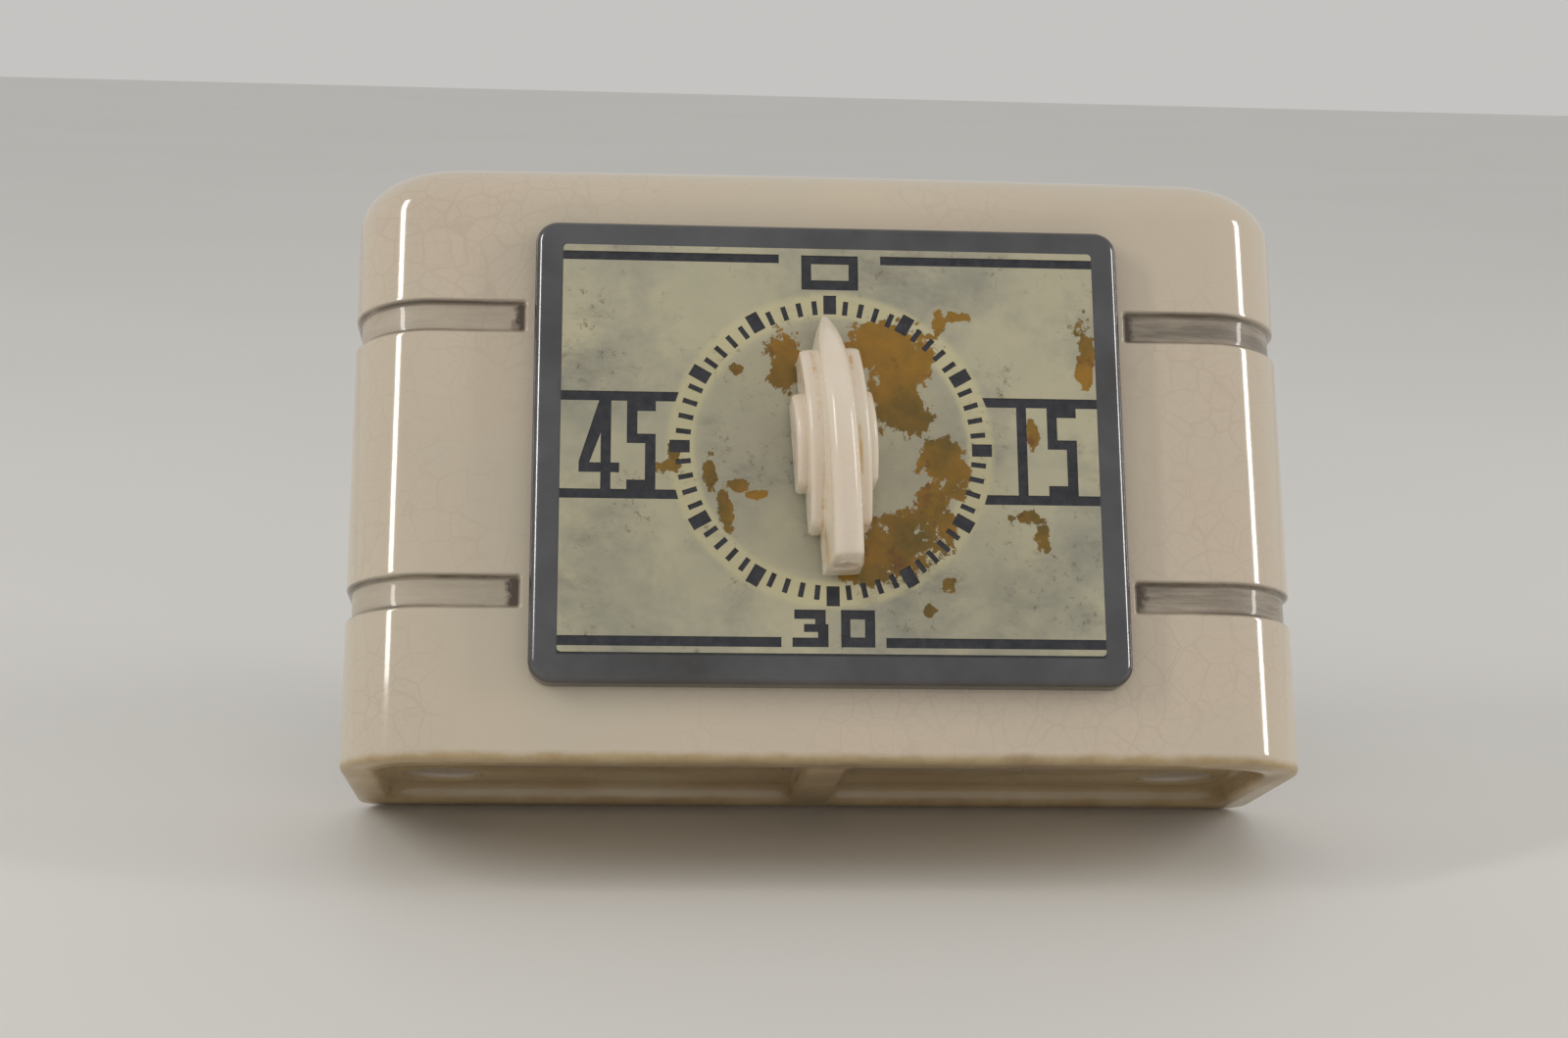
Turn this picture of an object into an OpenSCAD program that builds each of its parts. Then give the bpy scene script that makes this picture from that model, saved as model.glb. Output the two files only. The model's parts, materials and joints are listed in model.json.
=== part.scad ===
// Kitchen timer: a glazed ceramic case with a pressed metal dial, a pointer knob,
// a spring-driven movement and a bell. X runs to the right, Y to the rear, Z up.
// The origin is on the foot, under the middle of the case.

/* [Case] */
// Width of the ceramic case
case_w = 149; // [148:0.5:150]
// Depth of the ceramic case, front to back
case_d = 48; // [48:0.5:50]
// Height of the ceramic case, foot to top
case_h = 97; // [96.5:0.5:99]
// Thickness of the ceramic walls
wall = 6; // [5.5:0.25:6]
// Plan radius of the two front upright corners
front_corner_r = 14; // [12:0.5:16]
// Radius of the corners at the ends of the top, seen from the front
top_corner_r = 11; // [9:0.5:13]
// Radius of the top front edge
top_edge_r = 9; // [7:0.5:11]
// Height of the recess inside the foot rim
foot_recess = 3; // [2:0.25:3.5]
// Width of the rib across the foot recess
foot_rib_w = 6.5; // [5:0.5:8]
// Width of the side grooves
groove_w = 4.8; // [4:0.2:6]
// Depth of the side grooves
groove_depth = 1; // [0.6:0.1:1.4]
// Diameter of the two sound holes in the base
sound_hole_d = 13; // [10:0.5:13]

/* [Dial] */
// Height of the dial centre above the foot
dial_z = 47.6; // [47:0.1:48.5]
// Width of the dial plate
dial_w = 91.4; // [90:0.2:93]
// Height of the dial plate
dial_h = 73.2; // [72:0.2:75]
// How far the dial face stands in front of the ceramic
dial_stand = 4; // [3.5:0.1:4.5]
// Sheet thickness of the dial plate
sheet_t = 0.8; // [0.6:0.1:1]

/* [Knob] */
// Length of the pointer knob, tip to tail
knob_len = 40.6; // [40:0.2:42]
// Height of the knob's crest above the dial face
knob_h = 19.5; // [18.5:0.25:21]
// Width of the crest
crest_w = 5.6; // [5.2:0.1:6]
// Angle of the pointer from the zero mark when run down
knob_rest_angle = 3.5; // [0:0.5:5]

/* [Movement] */
// Module of the two slower gear pairs
slow_module = 0.6; // [0.58:0.01:0.6]
// Module of the fast gear pair
fast_module = 0.5; // [0.48:0.01:0.5]
// Teeth on the main wheel
main_teeth = 60; // [60:1:60]
// Teeth on the second wheel
second_teeth = 48; // [48:1:48]
// Teeth on the third wheel
third_teeth = 36; // [36:1:36]
// Leaves on each pinion
pinion_teeth = 12; // [12:1:12]
// Teeth on the escape wheel
escape_teeth = 15; // [12:1:20]
// Width of the mainspring strip
mainspring_w = 5; // [4:0.5:5]

/* [Bell] */
// Outside diameter of the bell
bell_d = 44; // [40:1:44]
// Depth of the bell
bell_depth = 10.4; // [9:0.2:10.4]

/* [Hidden] */

$fn = 48;
arc_steps = 10;          // straight pieces in a quarter turn of an outline
fit_gap = 0.05;          // radial running clearance of the pivots and arbors
eps = 0.01;              // overshoot of a cutting tool

// Front-to-back stations, from the dial face to the back cover.
front_y = -case_d / 2;                    // front of the ceramic
dial_y = front_y - dial_stand;            // face of the dial plate
pad_t = 0.6;
plate_t = 1.2;
front_plate_y = front_y + wall + pad_t;   // front of the front movement plate
between_y = front_plate_y + plate_t;      // space between the movement plates
between_len = 17;
rear_plate_y = between_y + between_len;   // front of the rear movement plate
behind_y = rear_plate_y + plate_t;        // back of the rear movement plate
cover_y = case_d / 2 - 2.8;               // front of the back cover
cover_t = 0.8;
cover_gap = 0.4;                          // between the cover and the ceramic

// Case
floor_t = 5;
cavity_z0 = foot_recess + floor_t;
cavity_z1 = case_h - wall;
back_corner_r = 4.5;
opening_w = 84;
opening_h = 66;
opening_r = 4;
groove_centres = [-22, 22];               // above and below the dial centre
groove_start = 47.2;                      // from the middle to a groove's inner end
rim_front = 7;
rim_side = 5.6;
rim_back = 5;
recess_corner_r = 8;
sound_hole_at = [60, 10];

// Dial
dial_corner_r = 3.5;
dial_edge_r = 1.6;
arbor_hole_r = 3.2;
stud_at = [37, 29];
stud_r = 1.5;
stud_hole_r = 1.7;
nut_t = 2.4;
nut_r = 3.2;

// Movement plates and posts
plate_w = 76;
plate_h = 68;
ear_w = 98;
ear_h = 10;
pillar_at = [34, 20];
pillar_r = 2.2;
post_at = [45.5, 29];
post_r = 2.6;
screw_r = 1.25;
screw_head_r = 2.5;
screw_head_t = 1.6;

// Arbors: places in the plane of the dial, from the dial centre
arbor_r = 2.5;
pivot_r = 0.6;
shaft_r = 1;
end_shake = 0.3;
gear_slack = 0.05;                        // added to each centre distance
main_at = [0, 0];
second_turn = -40;                        // direction from one arbor to the next
third_turn = 205;
escape_turn = 170;
pallet_turn = 190;
function toward(angle, distance) = distance * [cos(angle), sin(angle)];
function pair_distance(m, teeth) = m * (teeth + pinion_teeth) / 2 + gear_slack;
second_at = main_at + toward(second_turn, pair_distance(slow_module, main_teeth));
third_at = second_at + toward(third_turn, pair_distance(slow_module, second_teeth));
escape_at = third_at + toward(escape_turn, pair_distance(fast_module, third_teeth));
escape_r = 7;
pallet_at = escape_at + toward(pallet_turn, escape_r + 4.4);

// Front-to-back places of the wheels, from the front plate's back
main_wheel_y = between_y + 8.2;
main_wheel_t = 1.4;
ratchet_y = main_wheel_y - 1.6;
second_wheel_y = main_wheel_y + main_wheel_t + 2;
second_wheel_t = 1.2;
third_wheel_y = rear_plate_y - 2.4;
third_wheel_t = 1;
escape_wheel_y = second_wheel_y - 0.4;
escape_wheel_t = 0.8;
pallet_y = escape_wheel_y - 0.2;
pallet_t = 1.2;
mainspring_y = between_y + 0.6;

// Gear teeth
pressure_angle = 25;
tooth_thinning = 0.05;                    // taken off each tooth at the pitch circle
flank_steps = 5;

// Hammer and bell
bell_at = [-24, 8];
bell_y = 8;
bell_t = 1;
hammer_head_r = 2.5;
hammer_gap = 0.8;
hammer_pivot = [24, 14];
hammer_tail = [1.6, 9.9];
hammer_at = bell_at + toward(45, bell_d / 2 + hammer_gap + hammer_head_r);
hammer_y = behind_y + 0.8;
hammer_t = 1.2;
cam_r = 7;
cam_lobe_r = 8;
cam_t = 1.4;

// ---------------------------------------------------------------- outlines

// Points of a quarter turn about c, starting at angle a.
function quarter(c, r, a) =
  [for (i = [0:arc_steps]) c + toward(a + 90 * i / arc_steps, r)];

// Rectangle from x0, y0 to x1, y1 with one radius per corner, anticlockwise
// from the lower left.
function rounded(x0, y0, x1, y1, r) = concat(
  quarter([x0 + r[0], y0 + r[0]], r[0], 180),
  quarter([x1 - r[1], y0 + r[1]], r[1], 270),
  quarter([x1 - r[2], y1 - r[2]], r[2], 0),
  quarter([x0 + r[3], y1 - r[3]], r[3], 90));

module rounded_box2d(w, h, r) {
  polygon(rounded(-w / 2, -h / 2, w / 2, h / 2, [r, r, r, r]));
}

// A bar with round ends between two places.
module bar(a, b, w) {
  run = b - a;
  translate(a) rotate(atan2(run[1], run[0])) {
    translate([0, -w / 2]) square([norm(run), w]);
    circle(d = w);
    translate([norm(run), 0]) circle(d = w);
  }
}

// Extrudes an outline drawn as seen from the front, from y to y + t.
// Its origin is the dial centre.
module slab(y, t) {
  translate([0, y + t, dial_z]) rotate([90, 0, 0]) linear_extrude(height = t) children();
}

// A round rod along Y at a place in the plane of the dial.
module rod(at, y, length, r) {
  translate([at[0], y + length, dial_z + at[1]]) rotate([90, 0, 0])
    cylinder(h = length, r = r);
}

// The four places (+-x, +-z) of a rectangle of fixings.
module at_corners(place) {
  for (sx = [-1, 1], sz = [-1, 1]) translate([sx * place[0], 0, sz * place[1]]) children();
}

// Pin-to-pin arbor: a shaft between the plates with a pivot in each plate.
module pivoted_shaft(at) {
  rod(at, between_y + end_shake, between_len - 2 * end_shake, shaft_r);
  rod(at, front_plate_y, between_len + 2 * plate_t, pivot_r);
}

// -------------------------------------------------------------------- gears

function involute(angle) = tan(angle) * 180 / PI - angle;

// Half the angle of a tooth at radius r.
function half_tooth(m, teeth, r) =
  let (pitch_r = m * teeth / 2, base_r = pitch_r * cos(pressure_angle))
  (PI * m / 2 - tooth_thinning) / (2 * pitch_r) * 180 / PI
    + involute(pressure_angle) - involute(acos(min(1, base_r / r)));

// Outline of a spur gear whose tooth 0 points at the angle phase.
function gear_outline(m, teeth, phase) =
  let (
    pitch_r = m * teeth / 2,
    base_r = pitch_r * cos(pressure_angle),
    root_r = pitch_r - 1.25 * m,
    tip_r = pitch_r + m,
    start_r = max(base_r, root_r) + 0.001,
    radii = [for (i = [0:flank_steps]) start_r + (tip_r - start_r) * i / flank_steps]
  )
  [for (tooth = [0:teeth - 1])
    let (middle = phase + 360 * tooth / teeth)
    for (p = concat(
      [toward(middle - half_tooth(m, teeth, start_r), root_r)],
      [for (r = radii) toward(middle - half_tooth(m, teeth, r), r)],
      [for (i = [flank_steps:-1:0]) toward(middle + half_tooth(m, teeth, radii[i]), radii[i])],
      [toward(middle + half_tooth(m, teeth, start_r), root_r)])) p];

// Phase of a pinion that meshes with a wheel of this phase in this direction.
function meshed_phase(direction, wheel_teeth, wheel_phase) =
  direction + 180 - (180 - wheel_teeth * (direction - wheel_phase)) / pinion_teeth;

second_phase = meshed_phase(second_turn, main_teeth, 0);
third_phase = meshed_phase(third_turn, second_teeth, second_phase);
escape_phase = meshed_phase(escape_turn, third_teeth, third_phase);

// Crossings cut out of a wheel, leaving a rim, a hub and some arms.
module crossings(hub_r, rim_r, arms, arm_w) {
  difference() {
    circle(r = rim_r);
    circle(r = hub_r);
    for (i = [0:arms - 1]) rotate(360 * i / arms) translate([0, -arm_w / 2])
      square([rim_r + 1, arm_w]);
  }
}

module wheel(at, y, t, m, teeth, phase, bore_r, hub_r, arms) {
  slab(y, t) translate(at) difference() {
    polygon(gear_outline(m, teeth, phase));
    circle(r = bore_r);
    crossings(hub_r, m * teeth / 2 - 3.2 * m, arms, 2);
  }
}

module pinion(at, y, length, m, phase) {
  slab(y, length) translate(at) polygon(gear_outline(m, pinion_teeth, phase));
}

// --------------------------------------------------------------------- case

// Plan of the case, drawn in by an amount all round.
module case_plan(inset) {
  polygon(rounded(-case_w / 2 + inset, front_y + inset, case_w / 2 - inset, -front_y - inset,
    [front_corner_r - inset, front_corner_r - inset, back_corner_r, back_corner_r]));
}

module case_body() {
  intersection() {
    linear_extrude(height = case_h) case_plan(0);
    translate([0, case_d, 0]) rotate([90, 0, 0]) linear_extrude(height = 2 * case_d)
      polygon(rounded(-case_w / 2, 0, case_w / 2, case_h,
        [eps, eps, top_corner_r, top_corner_r]));
    rotate([90, 0, 90]) translate([0, 0, -case_w]) linear_extrude(height = 2 * case_w)
      polygon(rounded(front_y, 0, -front_y, case_h, [eps, eps, back_corner_r, top_edge_r]));
  }
}

module groove(z) {
  translate([0, 0, z - groove_w / 2]) linear_extrude(height = groove_w) difference() {
    square([case_w + 10, case_d + 10], center = true);
    case_plan(groove_depth);
    square([2 * groove_start, case_d + 20], center = true);
    translate([-case_w, -front_y - groove_depth]) square([2 * case_w, 20]);
  }
}

module foot_recess_cut() {
  half_w = case_w / 2 - rim_side;
  translate([0, 0, -eps]) linear_extrude(height = foot_recess + eps) difference() {
    polygon(rounded(-half_w, front_y + rim_front, half_w, -front_y - rim_back,
      [recess_corner_r, recess_corner_r, back_corner_r, back_corner_r]));
    square([foot_rib_w, case_d + 10], center = true);
  }
}

module ceramic_case() {
  half_w = case_w / 2 - wall;
  color("#e6dccb") difference() {
    case_body();
    translate([0, 0, cavity_z0]) linear_extrude(height = cavity_z1 - cavity_z0)
      polygon(rounded(-half_w, front_y + wall, half_w, case_d, [8, 8, 2, 2]));
    slab(front_y - 1, wall + 2) rounded_box2d(opening_w, opening_h, opening_r);
    for (z = groove_centres) groove(dial_z + z);
    foot_recess_cut();
    for (side = [-1, 1]) translate([side * sound_hole_at[0], sound_hole_at[1], -1])
      cylinder(h = cavity_z0 + 2, d = sound_hole_d);
  }
}

// --------------------------------------------------------------- dial plate

module dial_form(w, h, depth, corner_r, edge_r) {
  intersection() {
    slab(front_y - depth, depth) rounded_box2d(w, h, corner_r);
    linear_extrude(height = 2 * case_h) polygon(rounded(-w / 2, front_y - depth, w / 2,
      front_y + depth, [edge_r, edge_r, eps, eps]));
    rotate([90, 0, 90]) translate([0, 0, -case_w]) linear_extrude(height = 2 * case_w)
      polygon(rounded(front_y - depth, dial_z - h / 2, front_y + depth, dial_z + h / 2,
        [edge_r, eps, eps, edge_r]));
  }
}

module dial_plate() {
  color("#b9b6ab") difference() {
    dial_form(dial_w, dial_h, dial_stand, dial_corner_r, dial_edge_r);
    slab(dial_y + sheet_t, dial_stand)
      rounded_box2d(dial_w - 2 * sheet_t, dial_h - 2 * sheet_t, dial_corner_r - sheet_t);
    rod([0, 0], dial_y - 1, sheet_t + 2, arbor_hole_r);
  }
}

module dial_studs() {
  stud_y = dial_y + sheet_t;
  color("#b8923f") at_corners(stud_at)
    rod([0, 0], stud_y, between_y + nut_t + 1 - stud_y, stud_r);
}

module dial_nuts() {
  color("#b8923f") at_corners(stud_at) slab(between_y, nut_t) difference() {
    circle(r = nut_r, $fn = 6);
    circle(r = stud_r);
  }
}

module clamp_pads() {
  color("#5b4630") at_corners(post_at) slab(front_y + wall, pad_t) square([6, 8], center = true);
}

// --------------------------------------------------------- movement's frame

module plate_outline() {
  rounded_box2d(plate_w, plate_h, 3);
}

module plate_holes() {
  circle(r = arbor_r + 1.5);
  for (at = [second_at, third_at, escape_at, pallet_at]) translate(at)
    circle(r = pivot_r + fit_gap);
}

module corner_holes(place, r) {
  for (sx = [-1, 1], sz = [-1, 1]) translate([sx * place[0], sz * place[1]]) circle(r = r);
}

module front_movement_plate() {
  color("#c9a24b") slab(front_plate_y, plate_t) difference() {
    union() {
      plate_outline();
      for (s = [-1, 1]) translate([0, s * stud_at[1]]) square([ear_w, ear_h], center = true);
    }
    plate_holes();
    corner_holes(stud_at, stud_hole_r);
  }
}

module rear_movement_plate() {
  color("#c9a24b") slab(rear_plate_y, plate_t) difference() {
    plate_outline();
    plate_holes();
    corner_holes(pillar_at, screw_r);
  }
}

// Pillars riveted to the front plate, each with a tapped hole for its screw.
module plate_pillars() {
  color("#b8923f") at_corners(pillar_at) difference() {
    rod([0, 0], between_y, between_len, pillar_r);
    rod([0, 0], rear_plate_y - 5, 6, screw_r);
  }
}

module screw(y, length) {
  difference() {
    rod([0, 0], y, screw_head_t, screw_head_r);
    translate([-screw_head_r - 1, y + screw_head_t - 0.6, dial_z - 0.3])
      cube([2 * screw_head_r + 2, 1, 0.6]);
  }
  rod([0, 0], y - length, length, screw_r);
}

module pillar_screws() {
  color("#9a9a96") at_corners(pillar_at) screw(behind_y, plate_t + 4);
}

module cover_posts() {
  color("#b8923f") at_corners(post_at) difference() {
    rod([0, 0], between_y, cover_y - between_y, post_r);
    rod([0, 0], cover_y - 6, 7, screw_r);
  }
}

module back_cover() {
  w = case_w - 2 * wall - 2 * cover_gap;
  h = cavity_z1 - cavity_z0 - 2 * cover_gap;
  middle = (cavity_z0 + cavity_z1) / 2 - dial_z;
  slots = 7;
  slot_pitch = 5;
  slot_size = [26, 1.6];
  color("#8c8d8c") slab(cover_y, cover_t) difference() {
    translate([0, middle]) rounded_box2d(w, h, 2);
    corner_holes(post_at, screw_r);
    for (i = [0:slots - 1]) translate([bell_at[0], bell_at[1] + (i - (slots - 1) / 2) * slot_pitch])
      square(slot_size, center = true);
  }
}

module cover_screws() {
  color("#9a9a96") at_corners(post_at) screw(cover_y + cover_t, cover_t + 5);
}

module arbor_bushes() {
  color("#b8923f") for (y = [front_plate_y, rear_plate_y]) slab(y, plate_t) difference() {
    circle(r = arbor_r + 1.5);
    circle(r = arbor_r + fit_gap);
  }
}

// ------------------------------------------------------ winding and driving

spring_inner_r = 3.4;
spring_outer_r = 14.2;
spring_turns = 6;
spring_t = 0.4;

// Flat spiral strip, its outer end at the top.
function spiral(offset_r) = [for (i = [0:24 * spring_turns])
  let (k = i / (24 * spring_turns))
  toward(90 - 360 * spring_turns * (1 - k),
    spring_inner_r + (spring_outer_r - spring_inner_r) * k + offset_r)];

function reversed(list) = [for (i = [len(list) - 1:-1:0]) list[i]];

module mainspring() {
  color("#5d6670") slab(mainspring_y, mainspring_w)
    polygon(concat(spiral(0), reversed(spiral(-spring_t))));
}

module spring_anchor_post() {
  r = 1.5;
  color("#b8923f") rod([0, spring_outer_r + r], between_y, mainspring_w + 1, r);
}

module winding_arbor() {
  core_r = spring_inner_r - spring_t - 0.1;
  front = dial_y - 13;
  color("#a8a9a6") {
    rod(main_at, front, behind_y + 3.6 - front, arbor_r);
    rod(main_at, between_y + end_shake, ratchet_y - between_y - end_shake, core_r);
  }
}

ratchet_r = 6.5;
ratchet_teeth = 12;

module ratchet_wheel() {
  color("#8f9092") slab(ratchet_y, 1.5) difference() {
    polygon([for (i = [0:ratchet_teeth - 1], p = [
      toward(360 * i / ratchet_teeth, ratchet_r),
      toward(360 * i / ratchet_teeth + 2, ratchet_r - 1.4)]) p]);
    circle(r = arbor_r);
  }
}

module main_wheel() {
  color("#c9a24b") slab(main_wheel_y, main_wheel_t) difference() {
    polygon(gear_outline(slow_module, main_teeth, 0));
    circle(r = arbor_r);
    for (a = [45, 225, 315]) translate(toward(a, 11)) circle(r = 3.4);
  }
}

click_pivot = toward(135, 12);
click_r = 1.2;
click_y = ratchet_y + 0.2;
click_t = 1.2;

module click_rivet() {
  color("#b8923f") {
    rod(click_pivot, ratchet_y - 0.5, main_wheel_y - ratchet_y + 0.5, click_r);
    rod(click_pivot, ratchet_y - 0.9, 0.8, click_r + 0.8);
  }
}

// Lever whose nose rests just above a tooth space of the ratchet wheel.
module click() {
  nose = toward(104, ratchet_r + 0.35);
  color("#8f9092") slab(click_y, click_t) difference() {
    union() {
      translate(click_pivot) circle(r = click_r + 1.1);
      polygon([nose, click_pivot + toward(30, click_r + 1.1), click_pivot + toward(210, click_r + 1.1)]);
    }
    translate(click_pivot) circle(r = click_r + fit_gap);
  }
}

module click_spring() {
  color("#5d6670") slab(click_y, 1)
    polygon([toward(80, 15.6), toward(79, 15.6), toward(103, 9.9), toward(105, 10.2)]);
}

module trip_cam() {
  color("#8f9092") slab(behind_y + 0.6, cam_t) difference() {
    polygon([for (i = [0:60])
      toward(100 + 6 * i, cam_r + (cam_lobe_r - cam_r) * pow(i / 60, 3))]);
    circle(r = arbor_r);
  }
}

module arbor_ring() {
  color("#5d6670") slab(behind_y + 0.6 + cam_t, 0.7) difference() {
    circle(r = arbor_r + 1.5);
    circle(r = arbor_r);
  }
}

// -------------------------------------------------------------- gear train

module second_arbor() {
  color("#9a9a96") {
    pivoted_shaft(second_at);
    pinion(second_at, main_wheel_y - 0.8, main_wheel_t + 2.8, slow_module, second_phase);
  }
}

module second_wheel() {
  color("#c9a24b") wheel(second_at, second_wheel_y, second_wheel_t, slow_module, second_teeth,
    second_phase, shaft_r, 3.6, 4);
}

module third_arbor() {
  color("#9a9a96") {
    pivoted_shaft(third_at);
    pinion(third_at, second_wheel_y - 0.8, third_wheel_y - second_wheel_y + 0.8, slow_module,
      third_phase);
  }
}

module third_wheel() {
  color("#c9a24b") wheel(third_at, third_wheel_y, third_wheel_t, fast_module, third_teeth,
    third_phase, shaft_r, 3, 4);
}

module escape_arbor() {
  pinion_y = escape_wheel_y + escape_wheel_t;
  color("#9a9a96") {
    pivoted_shaft(escape_at);
    pinion(escape_at, pinion_y, rear_plate_y - 0.8 - pinion_y, fast_module, escape_phase);
  }
}

module escape_wheel() {
  color("#c9a24b") slab(escape_wheel_y, escape_wheel_t) translate(escape_at) difference() {
    polygon([for (i = [0:escape_teeth - 1], p = [
      toward(360 * i / escape_teeth, escape_r),
      toward(360 * i / escape_teeth + 3, escape_r - 1.6),
      toward(360 * i / escape_teeth + 14, escape_r - 1.6)]) p]);
    circle(r = shaft_r);
    crossings(2, escape_r - 2.6, 4, 1);
  }
}

// ------------------------------------------------------------- escapement

// Direction from the pallet arbor to the escape arbor, and the anchor's reach.
pallet_dir = pallet_turn + 180;
pallet_reach = escape_r + 2.3;

module pallet_arbor() {
  color("#9a9a96") pivoted_shaft(pallet_at);
}

// Anchor: a hub, two arms that end beside the escape wheel, and a balance bar.
module pallet_lever() {
  color("#8f9092") slab(pallet_y, pallet_t) difference() {
    union() {
      translate(pallet_at) circle(r = 2.4);
      for (s = [-1, 1])
        bar(pallet_at, escape_at + toward(pallet_turn + s * 62, pallet_reach), 1.4);
      bar(pallet_at - toward(pallet_dir + 90, 8), pallet_at + toward(pallet_dir + 90, 8), 1.6);
    }
    translate(pallet_at) circle(r = shaft_r);
  }
}

module balance_weights() {
  color("#b8923f") for (s = [-1, 1])
    rod(pallet_at + toward(pallet_dir + 90, s * 8), pallet_y + pallet_t, 2, 1.6);
}

// ---------------------------------------------------------- hammer and bell

module hammer_post() {
  color("#b8923f") rod(hammer_pivot, behind_y, 5, screw_r);
}

module hammer_ring() {
  color("#5d6670") slab(behind_y + 4.3, 0.6) translate(hammer_pivot) difference() {
    circle(r = screw_r + 1.2);
    circle(r = screw_r);
  }
}

module hammer_arm() {
  hub_r = screw_r + 1.6;
  color("#9a9a96") difference() {
    union() {
      slab(hammer_y, hammer_t) {
        bar(hammer_pivot, hammer_at, 3);
        bar(hammer_pivot, hammer_tail, 2);
      }
      rod(hammer_pivot, behind_y + 0.3, 3.8, hub_r);
    }
    rod(hammer_pivot, behind_y - 1, 7, screw_r + fit_gap);
  }
}

module hammer_head() {
  y = hammer_y + hammer_t;
  color("#b8923f") rod(hammer_at, y, bell_y + 5 - y, hammer_head_r);
}

// Leaf that presses on the top of the hammer arm, with a tab on the rear plate.
module hammer_spring() {
  color("#5d6670") {
    slab(hammer_y, 1) polygon([[30, 31], [34, 31], [34, 31.5], [30, 31.5], [4, 24.1], [4, 23.7]]);
    slab(behind_y, hammer_y - behind_y + 1) translate([30, 30]) square([5, 3]);
  }
}

module bell_post() {
  color("#b8923f") {
    rod(bell_at, behind_y, bell_y + bell_depth - bell_t - behind_y, 2.4);
    rod(bell_at, behind_y, bell_y + bell_depth + 2 - behind_y, 1.5);
  }
}

module bell() {
  r = bell_d / 2;
  edge = 4;
  color("#a9a49a") translate([bell_at[0], bell_y, dial_z + bell_at[1]]) rotate([-90, 0, 0])
    rotate_extrude($fn = 96) polygon(concat(
      [[r - bell_t, 0], [r, 0]],
      quarter([r - edge, bell_depth - edge], edge, 0),
      [[1.5, bell_depth], [1.5, bell_depth - bell_t]],
      reversed(quarter([r - edge, bell_depth - edge], edge - bell_t, 0))));
}

module bell_nut() {
  color("#b8923f") slab(bell_y + bell_depth, 2) translate(bell_at) difference() {
    circle(r = nut_r, $fn = 6);
    circle(r = 1.5);
  }
}

// --------------------------------------------------------------------- knob

knob_gap = 1;
knob_base_y = dial_y - knob_gap;
bore_depth = 12;
screw_height = 7.3;      // of the set screw above the dial face

// Side outline of the crest: length along the pointer against height above the base.
function crest_side() =
  let (half = knob_len / 2, top = knob_h - knob_gap)
  concat([[-half, 0], [half, 0], [half, 2.5]],
    [for (i = [1:12]) let (k = i / 12)
      [half - (half + 2) * sin(90 * k), 2.5 + (top - 2.5) * (1 - pow(1 - k, 2))]],
    [for (i = [1:8]) let (k = i / 8) [-2 - (half - 2) * k, top - 4.5 * k * k]]);

// Plan of the crest: parallel sides that come to a point at the tip.
function crest_plan() =
  let (half = knob_len / 2, w = crest_w / 2, nose = 11)
  concat([[-half, -w], [half - nose, -w]],
    [for (i = [1:8]) let (k = i / 8) [half - nose + nose * k, -w * (1 - k * k) - 0.3 * k]],
    [for (i = [8:-1:1]) let (k = i / 8) [half - nose + nose * k, w * (1 - k * k) + 0.3 * k]],
    [[half - nose, w], [-half, w]]);

// Side outline of a wing: a low loaf, highest in the middle.
function wing_side(half, top, end_h) = concat([[-half, 0], [half, 0]],
  [for (i = [0:16]) let (k = 1 - i / 8) [half * k, end_h + (top - end_h) * (1 - k * k)]]);

// Extrudes a side outline across the knob, from -w/2 to w/2. In the knob's own
// axes the pointer runs along Z and the height above the base along -Y.
module across(w) {
  rotate([0, 0, 90]) rotate([90, 0, 0]) linear_extrude(height = w, center = true)
    rotate(90) children();
}

module knob_solid() {
  intersection() {
    across(crest_w + 2) polygon(crest_side());
    translate([0, 1, 0]) rotate([90, 0, 0]) linear_extrude(height = knob_h + 2)
      rotate(90) polygon(crest_plan());
  }
  across(9.2) polygon(wing_side(13.9, 13, 6));
  across(12.2) polygon(wing_side(7.3, 9.5, 5));
}

module in_knob_place() {
  translate([0, knob_base_y, dial_z]) rotate([0, -knob_rest_angle, 0]) children();
}

module knob() {
  color("#efe3cf") difference() {
    in_knob_place() knob_solid();
    rod([0, 0], knob_base_y - bore_depth - 0.2, bore_depth + 1, arbor_r + fit_gap);
    in_knob_place() translate([0, -screw_height + knob_gap, -knob_len]) {
      cylinder(h = knob_len, r = 1.5);
      cylinder(h = knob_len / 2 + 6, r = 1.8);
    }
  }
}

module knob_set_screw() {
  length = 8;
  tip = 0.1;
  color("#5d6670") in_knob_place()
    translate([0, -screw_height + knob_gap, -arbor_r - tip - length]) difference() {
      cylinder(h = length, r = 1.5);
      translate([-2, -0.25, -1]) cube([4, 0.5, 2]);
    }
}

ceramic_case();
dial_plate();
dial_studs();
dial_nuts();
clamp_pads();
front_movement_plate();
rear_movement_plate();
plate_pillars();
pillar_screws();
cover_posts();
back_cover();
cover_screws();
arbor_bushes();
spring_anchor_post();
mainspring();
knob();
knob_set_screw();
winding_arbor();
ratchet_wheel();
main_wheel();
click_rivet();
click_spring();
trip_cam();
arbor_ring();
click();
second_arbor();
second_wheel();
third_arbor();
third_wheel();
escape_arbor();
escape_wheel();
pallet_arbor();
pallet_lever();
balance_weights();
hammer_post();
hammer_ring();
hammer_arm();
hammer_head();
hammer_spring();
bell_post();
bell();
bell_nut();
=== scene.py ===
import json
import math

import bmesh
import bpy
from mathutils import Euler, Matrix, Vector


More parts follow.
